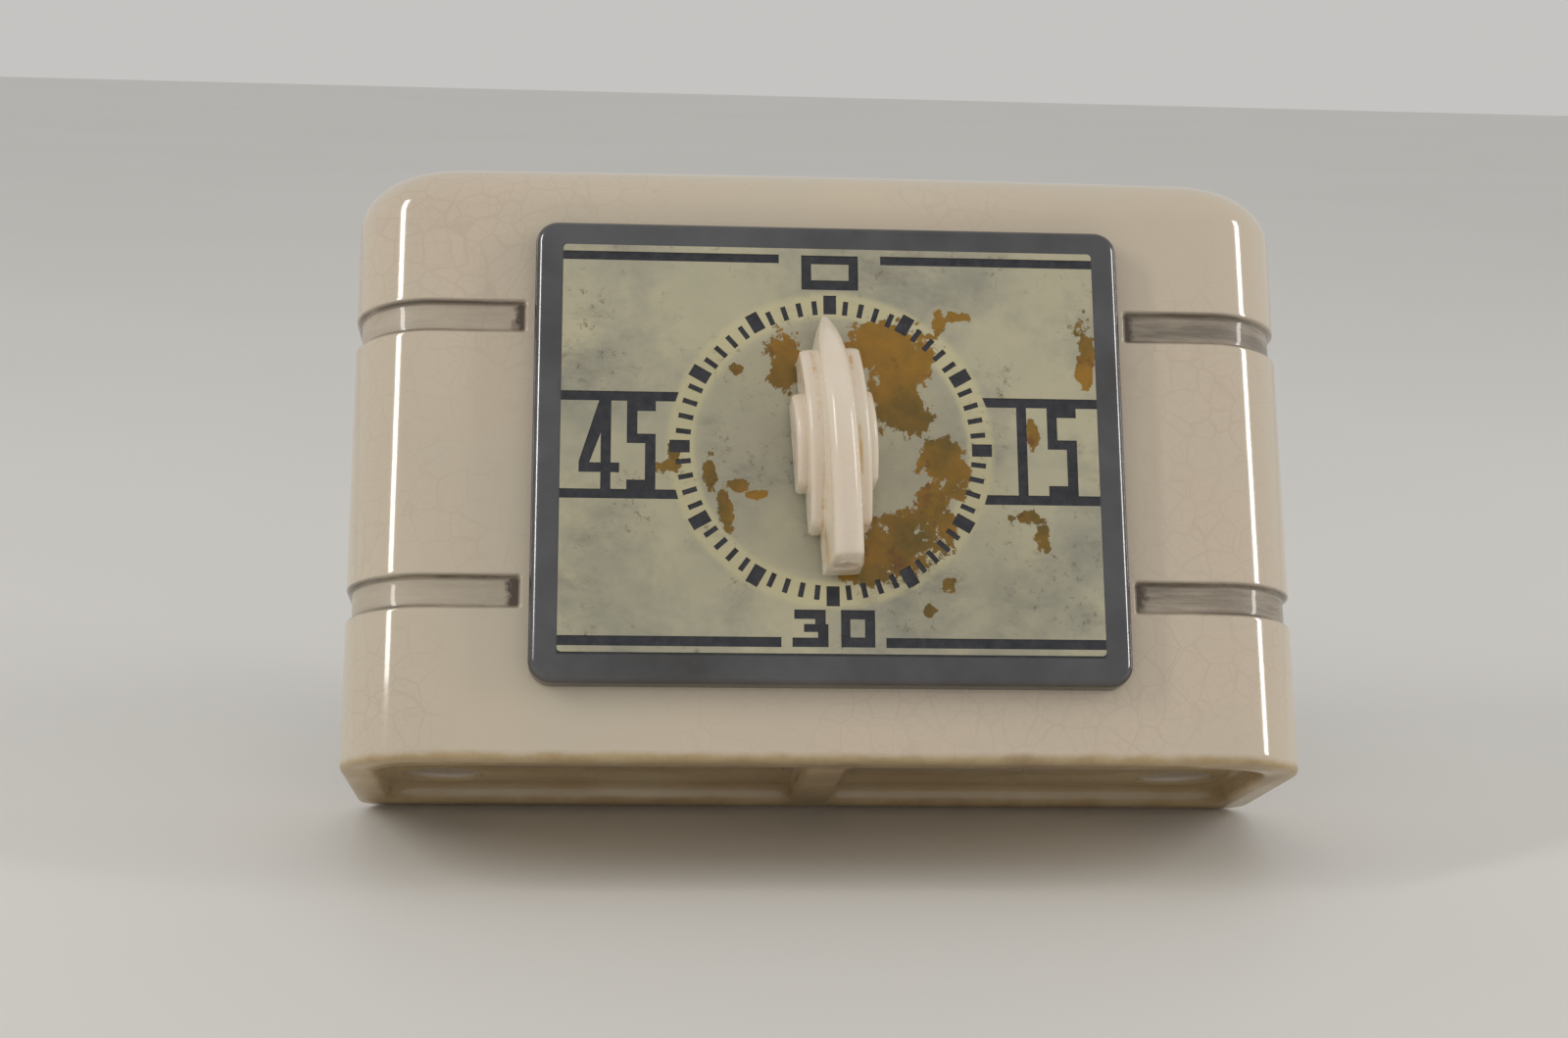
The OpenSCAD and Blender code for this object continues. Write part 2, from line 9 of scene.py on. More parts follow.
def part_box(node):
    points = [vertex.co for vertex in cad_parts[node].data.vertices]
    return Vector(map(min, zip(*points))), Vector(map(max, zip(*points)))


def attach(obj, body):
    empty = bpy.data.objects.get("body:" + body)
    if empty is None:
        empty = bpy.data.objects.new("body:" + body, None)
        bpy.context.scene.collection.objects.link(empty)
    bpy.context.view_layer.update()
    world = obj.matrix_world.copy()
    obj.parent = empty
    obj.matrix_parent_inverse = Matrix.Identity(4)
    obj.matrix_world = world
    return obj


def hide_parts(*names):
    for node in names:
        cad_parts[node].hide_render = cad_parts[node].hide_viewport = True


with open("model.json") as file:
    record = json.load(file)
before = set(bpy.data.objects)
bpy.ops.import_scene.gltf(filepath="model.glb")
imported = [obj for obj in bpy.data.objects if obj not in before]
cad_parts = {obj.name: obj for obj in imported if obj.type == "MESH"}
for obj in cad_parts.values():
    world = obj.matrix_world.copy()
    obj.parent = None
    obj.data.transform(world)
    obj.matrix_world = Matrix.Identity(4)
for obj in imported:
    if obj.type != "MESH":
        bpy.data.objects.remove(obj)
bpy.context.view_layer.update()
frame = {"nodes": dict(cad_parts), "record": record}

MM = 0.001

# ------------------------------------------------------------------ sizes
# All in millimetres, in the frame's own axes: X right, Y to the rear, Z up.


def box_mm(node):
    low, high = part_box(node)
    return low / MM, high / MM


CASE_LOW, CASE_HIGH = box_mm("ceramic_case")
DIAL_LOW, DIAL_HIGH = box_mm("dial_plate")
KNOB_LOW, KNOB_HIGH = box_mm("knob")

CASE_W = CASE_HIGH.x - CASE_LOW.x
CASE_H = CASE_HIGH.z
FRONT_Y = CASE_LOW.y
BACK_Y = CASE_HIGH.y
DIAL_Z = (DIAL_LOW.z + DIAL_HIGH.z) / 2
DIAL_W = DIAL_HIGH.x - DIAL_LOW.x
DIAL_H = DIAL_HIGH.z - DIAL_LOW.z
DIAL_Y = DIAL_LOW.y

WALL = 6.0
FLOOR = 5.0
CAVITY_R = 8.0
OPENING_HALF_W, OPENING_HALF_H, OPENING_R = 42.0, 33.0, 4.0
FRONT_CORNER_R = 14.0
BACK_CORNER_R = 4.5
TOP_SIDE_R = 9.5
TOP_FRONT_R = 9.0
TOP_BACK_R = 3.5
TOP_CROWN = 0.5
FOOT_EDGE_R = 0.8
RECESS = 3.0
RIM_FRONT, RIM_SIDE, RIM_BACK = 7.0, 5.6, 5.0
RIB_W = 6.5
SOUND_HOLE_R = 6.5
SOUND_HOLE_AT = (60.0, 10.0)
GROOVE_Z = 22.0
GROOVE_HALF = 2.4
GROOVE_DEPTH = 0.95
GROOVE_START = 47.2
# Height above the foot and how much the outline has drawn in, round the foot's edge.
FOOT_EDGE = ((0.0, FOOT_EDGE_R), (0.08, 0.45), (0.3, 0.18), (FOOT_EDGE_R, 0.0))
# Height and how much wider than its nominal outline the foot recess is there.
POCKET_PROFILE = ((-0.5, 1.3), (0.0, 0.9), (0.25, 0.45), (0.7, 0.12), (1.3, 0.0), (2.0, -0.1),
                  (2.6, -0.4), (2.9, -0.9), (RECESS, -1.6))

SHEET = 0.8
DIAL_CORNER_R = 3.5
DIAL_EDGE_R = 1.6
ARBOR_HOLE_R = 3.2
ENAMEL_T = 0.16
ENAMEL_HALF_W = 41.4
ENAMEL_TOP, ENAMEL_BOTTOM = 32.5, -32.1

KNOB_TURN = math.radians(3.5)

# --------------------------------------------------------------- mesh tools


def link(obj):
    bpy.context.scene.collection.objects.link(obj)
    return obj


def mesh_piece(name, verts, faces):
    """An object whose vertices are given in millimetres."""
    mesh = bpy.data.meshes.new(name)
    mesh.from_pydata([Vector(v) * MM for v in verts], [], faces)
    mesh.validate()
    return link(bpy.data.objects.new(name, mesh))


def face_outwards(obj):
    bm = bmesh.new()
    bm.from_mesh(obj.data)
    bmesh.ops.remove_doubles(bm, verts=bm.verts, dist=1e-7)
    bmesh.ops.recalc_face_normals(bm, faces=bm.faces)
    bm.to_mesh(obj.data)
    bm.free()
    return obj


def loft(name, rings):
    """Closed body through rings of equal length, with its first and last ring filled."""
    count = len(rings[0])
    verts = [p for ring in rings for p in ring]
    faces = []
    for r in range(len(rings) - 1):
        for i in range(count):
            j = (i + 1) % count
            faces.append((r * count + i, r * count + j, (r + 1) * count + j, (r + 1) * count + i))
    faces.append(tuple(reversed(range(count))))
    faces.append(tuple(range((len(rings) - 1) * count, len(rings) * count)))
    return face_outwards(mesh_piece(name, verts, faces))


def evaluated_copy(obj):
    """Applies every modifier of obj to its mesh."""
    graph = bpy.context.evaluated_depsgraph_get()
    graph.update()
    mesh = bpy.data.meshes.new_from_object(obj.evaluated_get(graph))
    obj.modifiers.clear()
    obj.data = mesh
    return obj


def boolean(target, cutter, operation="DIFFERENCE", own=False):
    modifier = target.modifiers.new("cut", "BOOLEAN")
    modifier.operation = operation
    modifier.solver = "EXACT"
    modifier.use_self = own
    modifier.object = cutter
    evaluated_copy(target)
    bpy.data.objects.remove(cutter)
    return target


def smooth(obj, angle=32):
    obj.data.shade_smooth()
    obj.data.set_sharp_from_angle(angle=math.radians(angle))
    return obj


def join(objects, name):
    bm = bmesh.new()
    for obj in objects:
        bm.from_mesh(obj.data)
        bpy.data.objects.remove(obj)
    mesh = bpy.data.meshes.new(name)
    bm.to_mesh(mesh)
    bm.free()
    return link(bpy.data.objects.new(name, mesh))


def arc(cx, cy, r, start, end, steps):
    turn = [math.radians(start + (end - start) * i / steps) for i in range(steps + 1)]
    return [(cx + r * math.cos(a), cy + r * math.sin(a)) for a in turn]


def circle(r):
    """Closed outline of 48 points, without a repeated last one."""
    return arc(0, 0, r, 0, 352.5, 47)


def rounded_rect(x0, y0, x1, y1, r, steps=8):
    """Anticlockwise outline with one radius per corner, from the lower left."""
    return (arc(x0 + r[0], y0 + r[0], r[0], 180, 270, steps)
            + arc(x1 - r[1], y0 + r[1], r[1], 270, 360, steps)
            + arc(x1 - r[2], y1 - r[2], r[2], 0, 90, steps)
            + arc(x0 + r[3], y1 - r[3], r[3], 90, 180, steps))


def prism(name, outline, y0, y1):
    """A flat shape seen from the front, (x, z) about the dial centre, from y0 to y1."""
    return loft(name, [[(x, y, DIAL_Z + z) for x, z in outline] for y in (y0, y1)])


# ------------------------------------------------------------ ceramic case


def inset_at(z, radius):
    """How far a wall has drawn in where it rolls over into the top."""
    drop = z - (CASE_H - radius)
    if drop <= 0:
        return 0.0
    return radius - math.sqrt(max(0.0, radius * radius - drop * drop))


def smoothstep(edge0, edge1, value):
    t = min(1.0, max(0.0, (value - edge0) / (edge1 - edge0)))
    return t * t * (3 - 2 * t)


def groove_depth(x, y, z):
    across = max(1 - smoothstep(GROOVE_HALF - 0.55, GROOVE_HALF + 0.35, abs(z - DIAL_Z - s))
                 for s in (-GROOVE_Z, GROOVE_Z))
    along = smoothstep(GROOVE_START - 0.35, GROOVE_START + 0.35, abs(x))
    behind = 1 - smoothstep(BACK_Y - 1.4, BACK_Y - 0.6, y)
    return GROOVE_DEPTH * across * along * behind


def front_stops():
    """Places along the front wall, closer together at the ends of the grooves."""
    ends = [GROOVE_START + d for d in (-1.5, -0.6, -0.35, -0.15, 0.0, 0.15, 0.35, 0.6, 1.5)]
    plain = [6.0 * i for i in range(1, 8)]
    half = sorted(plain + ends + [52, 55])
    return [-x for x in reversed(half)] + [0.0] + half


def case_ring(z, foot_inset=0.0):
    """Plan outline of the case at a height, with the grooves pressed in."""
    side = inset_at(z, TOP_SIDE_R) + foot_inset
    front = inset_at(z, TOP_FRONT_R) + foot_inset
    back = inset_at(z, TOP_BACK_R) + foot_inset
    x1 = CASE_W / 2 - side
    y0, y1 = FRONT_Y + front, BACK_Y - back
    rf = FRONT_CORNER_R - 0.55 * (side + front) / 2
    rb = max(1.2, BACK_CORNER_R - 0.4 * side)
    points = [(x * (x1 - rf) / (CASE_W / 2 - FRONT_CORNER_R), y0) for x in front_stops()
              if abs(x) < CASE_W / 2 - FRONT_CORNER_R - 0.5]
    points = [(-x1 + rf, y0)] + points
    points += arc(x1 - rf, y0 + rf, rf, 270, 360, 18)
    points += [(x1, y0 + rf + (y1 - rb - y0 - rf) * k / 6) for k in range(1, 6)]
    points += arc(x1 - rb, y1 - rb, rb, 0, 90, 8)
    points += [(x1 - rb - 2 * (x1 - rb) * k / 16, y1) for k in range(1, 16)]
    points += arc(-x1 + rb, y1 - rb, rb, 90, 180, 8)
    points += [(-x1, y1 - rb - (y1 - rb - y0 - rf) * k / 6) for k in range(1, 6)]
    points += arc(-x1 + rf, y0 + rf, rf, 180, 270, 18)[:-1]
    ring = []
    for i, (x, y) in enumerate(points):
        ax, ay = points[i - 1]
        bx, by = points[(i + 1) % len(points)]
        normal = Vector((by - ay, ax - bx, 0)).normalized()
        depth = groove_depth(x, y, z)
        crown = TOP_CROWN * smoothstep(CASE_H - 12, CASE_H, z) * (x / (CASE_W / 2)) ** 2
        ring.append(Vector((x, y, z - crown)) - normal * depth)
    return ring


def case_heights():
    lips = [0.0, 1.0, 1.7, 1.95, 2.2, 2.45, 2.65, 2.85, 3.2]
    grooves = [DIAL_Z + s + k * d for s in (-GROOVE_Z, GROOVE_Z) for k in (-1, 1) for d in lips]
    plain = [2.0, 4.0, 8.0, 14.0, 19.0, 32.0, 38.0, 44.0, 50.0, 56.0, 62.0, 76.0, 81.0, 85.0]
    rolled = [CASE_H - TOP_SIDE_R * (1 - math.sin(math.radians(a))) for a in range(0, 90, 5)]
    return sorted(set(round(z, 3) for z in grooves + plain + rolled)) + [CASE_H]


def foot_pocket(side):
    """Half of the recess in the foot, on one side of the rib, with soft edges."""
    outer = CASE_W / 2 - RIM_SIDE
    y0, y1 = FRONT_Y + RIM_FRONT, BACK_Y - RIM_BACK
    rings = []
    for z, grow in POCKET_PROFILE:
        x0, x1 = RIB_W / 2 - grow, outer + grow
        corner = (2.2, 8 + grow, 5 + grow, 2.2)
        outline = rounded_rect(x0, y0 - grow, x1, y1 + grow, corner)
        rings.append([(side * x, y, z) for x, y in outline])
    return loft("pocket", rings)


def tube_cutter(name, x, y, stations):
    """Round cutter along Z through (height, radius) stations."""
    return loft(name, [[(x + r * math.cos(math.tau * i / 48), y + r * math.sin(math.tau * i / 48), z)
                        for i in range(48)] for z, r in stations])


def make_case():
    rings = [case_ring(z, inset) for z, inset in FOOT_EDGE]
    rings += [case_ring(z) for z in case_heights()]
    case = loft("case_shell", rings)
    inner = CASE_W / 2 - WALL
    cavity = loft("cavity", [[(x, y, z) for x, y in rounded_rect(
        -inner, FRONT_Y + WALL, inner, BACK_Y + 4, (CAVITY_R, CAVITY_R, 0.5, 0.5))]
        for z in (RECESS + FLOOR, CASE_H - WALL)])
    boolean(case, cavity)
    w, h = OPENING_HALF_W, OPENING_HALF_H
    window = prism("window", rounded_rect(-w, -h, w, h, (OPENING_R,) * 4), FRONT_Y - 1,
                   FRONT_Y + WALL + 1)
    boolean(case, window)
    for side in (-1, 1):
        boolean(case, foot_pocket(side))
        hole = [(-1, SOUND_HOLE_R + 0.1), (RECESS - 0.01, SOUND_HOLE_R + 0.1),
                (RECESS + 0.4, SOUND_HOLE_R - 0.35), (RECESS + 1.2, SOUND_HOLE_R - 0.5),
                (RECESS + FLOOR + 1, SOUND_HOLE_R - 0.5)]
        boolean(case, tube_cutter("hole", side * SOUND_HOLE_AT[0], SOUND_HOLE_AT[1], hole))
    return smooth(case, 40)


# -------------------------------------------------------------- dial plate


def dial_ring(y, inset, corner):
    x, z = DIAL_W / 2 - inset, DIAL_H / 2 - inset
    return [(px, y, DIAL_Z + pz) for px, pz in rounded_rect(-x, -z, x, z, (corner,) * 4, 10)]


def make_dial_plate():
    """Pressed tray: a skirt on the ceramic, a rolled shoulder and a flat face."""
    r = DIAL_EDGE_R
    outer = [dial_ring(FRONT_Y - 0.02, 0.0, DIAL_CORNER_R), dial_ring(DIAL_Y + r, 0.0, DIAL_CORNER_R)]
    for a in range(10, 91, 10):
        turn = math.radians(a)
        inset = r * (1 - math.cos(turn))
        outer.append(dial_ring(DIAL_Y + r * (1 - math.sin(turn)), inset, DIAL_CORNER_R - inset))
    outer.append(dial_ring(DIAL_Y, r + 0.6, DIAL_CORNER_R - r - 0.2))
    plate = loft("dial_shell", outer)
    inside = [dial_ring(y, SHEET, DIAL_CORNER_R - SHEET) for y in (FRONT_Y + 1, DIAL_Y + r)]
    inside.append(dial_ring(DIAL_Y + SHEET, SHEET + 0.8, 1.5))
    boolean(plate, loft("inside", inside))
    hole = prism("arbor_hole", circle(ARBOR_HOLE_R), DIAL_Y - 1, DIAL_Y + 2)
    boolean(plate, hole)
    return smooth(plate, 25)


def rect(x0, z0, x1, z1):
    return [(x0, z0), (x1, z0), (x1, z1), (x0, z1)]


# Bare metal shapes in the enamel, (x, z) about the dial centre.
EDGE = ENAMEL_HALF_W + 1
BARS = [
    rect(-EDGE, 30.0, -7.9, 31.45), rect(8.0, 30.0, EDGE, 31.45),
    rect(-EDGE, -31.15, -7.85, -29.6), rect(7.95, -31.15, EDGE, -29.6),
    [(24.1, 6.95), (EDGE, 6.95), (EDGE, 8.5), (23.5, 8.5)],
    [(23.45, -8.63), (EDGE, -8.63), (EDGE, -7.08), (23.9, -7.08)],
    [(-EDGE, 7.1), (-23.9, 7.1), (-23.4, 8.65), (-EDGE, 8.65)],
    [(-EDGE, -8.4), (-23.4, -8.4), (-23.8, -6.9), (-EDGE, -6.9)],
]
ZERO_TOP = [rect(-4.4, 25.7, -2.85, 31.4), rect(3.0, 25.7, 4.5, 31.4),
            rect(-4.4, 25.7, 4.5, 27.3), rect(-4.4, 29.95, 4.5, 31.4)]
THIRTY = [rect(-5.9, -26.8, -1.15, -25.35), rect(-2.75, -27.7, -1.15, -25.35),
          rect(-4.45, -28.8, -0.76, -27.56), rect(-2.35, -31.1, -0.76, -27.56),
          rect(-6.2, -31.1, -0.76, -29.65),
          rect(1.15, -31.1, 2.56, -25.35), rect(4.76, -31.1, 6.3, -25.35),
          rect(1.15, -31.1, 6.3, -29.56), rect(1.15, -26.8, 6.3, -25.35)]
FIFTEEN = [rect(28.75, -7.5, 30.3, 7.5),
           rect(33.5, 5.43, 38.07, 7.5), rect(33.5, 0.3, 35.07, 7.5), rect(33.5, 0.3, 38.07, 1.83),
           rect(36.45, -7.5, 38.07, 1.83), rect(33.5, -7.5, 38.07, -5.5)]
FORTYFIVE = [rect(-35.25, -7.5, -33.7, 7.5), rect(-38.55, -4.3, -32.4, -2.75),
             [(-38.55, -3.0), (-36.95, -2.8), (-35.2, 2.1), (-34.2, 7.3), (-35.5, 7.3), (-38.55, -2.6)],
             rect(-31.3, 5.5, -26.9, 7.5), rect(-31.3, 0.37, -29.7, 7.5), rect(-31.3, 0.37, -26.9, 1.9),
             rect(-28.5, -7.5, -26.9, 1.9), rect(-31.3, -7.5, -26.9, -5.4)]

TICKS = 60
TICKS_PER_FIGURE = 5
MINOR_TICK = (21.65, 23.95, 0.82)
MAJOR_TICK = (21.7, 24.8, 2.0)


def tick_tree():
    """Geometry nodes that set one bar at every minute round the dial centre."""
    tree = bpy.data.node_groups.new("minute_ticks", "GeometryNodeTree")
    socket = tree.interface.new_socket
    socket("Geometry", in_out="OUTPUT", socket_type="NodeSocketGeometry")
    for name, kind in (("Count", "NodeSocketInt"), ("Every", "NodeSocketInt"),
                       ("Inner", "NodeSocketFloat"), ("Outer", "NodeSocketFloat"),
                       ("Width", "NodeSocketFloat"), ("Depth", "NodeSocketFloat"),
                       ("Majors", "NodeSocketBool"), ("Material", "NodeSocketMaterial")):
        socket(name, in_out="INPUT", socket_type=kind)
    nodes, wire = tree.nodes, tree.links.new
    given = nodes.new("NodeGroupInput")
    line = nodes.new("GeometryNodeMeshLine")
    line.mode = "OFFSET"
    line.inputs["Offset"].default_value = (0, 0, 0)
    wire(given.outputs["Count"], line.inputs["Count"])

    def maths(operation, a, b):
        node = nodes.new("ShaderNodeMath")
        node.operation = operation
        for place, value in enumerate((a, b)):
            if isinstance(value, (int, float)):
                node.inputs[place].default_value = value
            else:
                wire(value, node.inputs[place])
        return node.outputs[0]

    index = nodes.new("GeometryNodeInputIndex").outputs[0]
    turn = maths("MULTIPLY", index, maths("DIVIDE", math.tau, given.outputs["Count"]))
    is_major = maths("COMPARE", maths("MODULO", index, given.outputs["Every"]), 0)
    wanted = maths("COMPARE", is_major, given.outputs["Majors"])
    cube = nodes.new("GeometryNodeMeshCube")
    size = nodes.new("ShaderNodeCombineXYZ")
    wire(given.outputs["Width"], size.inputs[0])
    wire(given.outputs["Depth"], size.inputs[1])
    wire(maths("SUBTRACT", given.outputs["Outer"], given.outputs["Inner"]), size.inputs[2])
    wire(size.outputs[0], cube.inputs["Size"])
    shift = nodes.new("GeometryNodeTransform")
    centre = nodes.new("ShaderNodeCombineXYZ")
    middle = maths("MULTIPLY", maths("ADD", given.outputs["Outer"], given.outputs["Inner"]), 0.5)
    wire(middle, centre.inputs[2])
    wire(cube.outputs["Mesh"], shift.inputs["Geometry"])
    wire(centre.outputs[0], shift.inputs["Translation"])
    spin = nodes.new("ShaderNodeCombineXYZ")
    wire(turn, spin.inputs[1])
    instances = nodes.new("GeometryNodeInstanceOnPoints")
    wire(line.outputs[0], instances.inputs["Points"])
    wire(wanted, instances.inputs["Selection"])
    wire(shift.outputs[0], instances.inputs["Instance"])
    wire(spin.outputs[0], instances.inputs["Rotation"])
    real = nodes.new("GeometryNodeRealizeInstances")
    wire(instances.outputs[0], real.inputs[0])
    paint = nodes.new("GeometryNodeSetMaterial")
    wire(real.outputs[0], paint.inputs["Geometry"])
    wire(given.outputs["Material"], paint.inputs["Material"])
    wire(paint.outputs[0], nodes.new("NodeGroupOutput").inputs[0])
    return tree


def grown(name, tree, values):
    """A plain mesh made by a geometry nodes tree with these named inputs."""
    obj = link(bpy.data.objects.new(name, bpy.data.meshes.new(name)))
    modifier = obj.modifiers.new("grow", "NODES")
    modifier.node_group = tree
    sockets = {s.name: s.identifier for s in tree.interface.items_tree if s.in_out == "INPUT"}
    for key, value in values.items():
        modifier[sockets[key]] = value
    return evaluated_copy(obj)


def make_ticks():
    tree = tick_tree()
    ticks = []
    for majors, (inner, outer, width) in ((False, MINOR_TICK), (True, MAJOR_TICK)):
        bars = grown("ticks", tree, {
            "Count": TICKS, "Every": TICKS_PER_FIGURE, "Inner": inner * MM, "Outer": outer * MM,
            "Width": width * MM, "Depth": 1.0 * MM, "Majors": majors})
        bars.data.transform(Matrix.Translation(Vector((0, DIAL_Y, DIAL_Z)) * MM))
        ticks.append(bars)
    return join(ticks, "tick_cutter")


def make_enamel():
    """Thin coat on the dial face, left off wherever the metal shows."""
    coat = prism("enamel_coat", rounded_rect(
        -ENAMEL_HALF_W, ENAMEL_BOTTOM, ENAMEL_HALF_W, ENAMEL_TOP, (0.6,) * 4, 3),
        DIAL_Y - ENAMEL_T, DIAL_Y + 0.1)
    figures = BARS + ZERO_TOP + THIRTY + FIFTEEN + FORTYFIVE
    cutters = [prism("figure", outline, DIAL_Y - 0.6, DIAL_Y + 0.5) for outline in figures]
    boolean(coat, join(cutters, "figure_cutter"), own=True)
    boolean(coat, make_ticks())
    hole = prism("arbor_hole", circle(ARBOR_HOLE_R + 0.2), DIAL_Y - 1, DIAL_Y + 2)
    return boolean(coat, hole)


# --------------------------------------------------------------------- knob

KNOB_BASE_Y = KNOB_HIGH.y
KNOB_TOP = KNOB_HIGH.y - KNOB_LOW.y
KNOB_HALF = 20.3
CREST_HALF = 2.85
NOSE_FROM = 7.0
NOSE_HEIGHT = 3.0
CREST_PEAK_AT = -3
TAIL_DROP = 4.2
KNOB_BORE_R = 2.55
KNOB_BORE_DEPTH = 12.2
SCREW_HOLE_R = 1.8
SCREW_HOLE_UP = 6.3
# Half length, half width, height in the middle and at the ends, and height of the base.
# The bases differ a little so that no two joined faces lie in one plane.
INNER_WING = (13.9, 4.6, 13.0, 6.0, 0.05)
OUTER_WING = (7.3, 6.1, 9.5, 5.0, 0.1)


def knob_place(points):
    """Turns (across, along, height) about the arbor to where the pointer rests."""
    c, s = math.cos(KNOB_TURN), math.sin(KNOB_TURN)
    return [(u * c - w * s, KNOB_BASE_Y - h, DIAL_Z + u * s + w * c) for u, w, h in points]


def crest_section(w):
    """Half width and height of the crest at a place along the pointer."""
    nose = max(0.0, (w - NOSE_FROM) / (KNOB_HALF + 0.05 - NOSE_FROM))
    half = 0.12 + (CREST_HALF - 0.12) * (1 - nose ** 2.2) ** 0.8
    rise = KNOB_TOP - 0.2
    if w < CREST_PEAK_AT:
        height = rise - TAIL_DROP * ((CREST_PEAK_AT - w) / (KNOB_HALF + CREST_PEAK_AT)) ** 2
    else:
        along = (w - CREST_PEAK_AT) / (KNOB_HALF - CREST_PEAK_AT)
        height = rise - (rise - NOSE_HEIGHT) * along ** 2.1
    return half, height


def crest_ring(w, shrink=0.0):
    half, height = crest_section(w)
    half, height = half - shrink, height - shrink
    top = max(0.1, half * 0.78)
    points = [(-half, w, shrink), (-half * 0.98, w, height * 0.45)]
    shoulder = height - top * 0.9
    points += [(-top * math.cos(math.radians(a)), w, shoulder + top * 0.9 * math.sin(math.radians(a)))
               for a in range(0, 181, 15)]
    points += [(half * 0.98, w, height * 0.45), (half, w, shrink)]
    return knob_place(points)


def make_crest():
    stops = [-KNOB_HALF, -KNOB_HALF + 0.18, -KNOB_HALF + 0.5]
    stops += [-19 + 1.3 * i for i in range(0, 29)] + [19.6, 20.0]
    rings = [crest_ring(stops[0], 0.35), crest_ring(stops[1], 0.1)] + [crest_ring(w) for w in stops[2:]]
    return loft("crest", rings)


def make_wing(name, half_len, half_w, top, end, base):
    """A loaf across the crest: highest in the middle, its ends and edges rounded."""
    edge = 0.75
    profile = [(-half_len + edge * (1 - math.cos(math.radians(a))), edge * (1 - math.sin(math.radians(a))))
               for a in range(0, 91, 15)]
    middle = [(-half_len + edge + (2 * half_len - 2 * edge) * i / 22.0, 0.0) for i in range(1, 22)]
    stations = profile + middle + [(-w, s) for w, s in reversed(profile)]
    sections = []
    for w, shrink in stations:
        height = end + (top - end) * (1 - (w / half_len) ** 2) - shrink
        half = half_w - shrink
        lip = 0.9
        roll = [(lip * (1 - math.cos(math.radians(a))), height - lip * (1 - math.sin(math.radians(a))))
                for a in range(0, 91, 15)]
        pts = [(-half, w, base), (-half, w, height * 0.5)]
        pts += [(-half + u, w, h) for u, h in roll]
        pts += [(half - u, w, h) for u, h in reversed(roll)]
        pts += [(half, w, height * 0.5), (half, w, base)]
        sections.append(knob_place(pts))
    return loft(name, sections)


def make_knob():
    knob = make_crest()
    boolean(knob, make_wing("inner_wing", *INNER_WING), "UNION")
    boolean(knob, make_wing("outer_wing", *OUTER_WING), "UNION")
    bore = prism("bore", circle(KNOB_BORE_R), KNOB_BASE_Y - KNOB_BORE_DEPTH, KNOB_BASE_Y + 1)
    boolean(knob, bore)
    turns = [math.tau * i / 32 for i in range(32)]
    ring = [(SCREW_HOLE_R * math.cos(a), SCREW_HOLE_R * math.sin(a)) for a in turns]
    screw_hole = loft("screw_hole", [knob_place([(u, w, SCREW_HOLE_UP + h) for u, h in ring])
                                     for w in (-KNOB_HALF - 2, 0.0)])
    boolean(knob, screw_hole)
    knob.name = "knob_body"
    return smooth(knob, 38)


# ---------------------------------------------------------------- materials


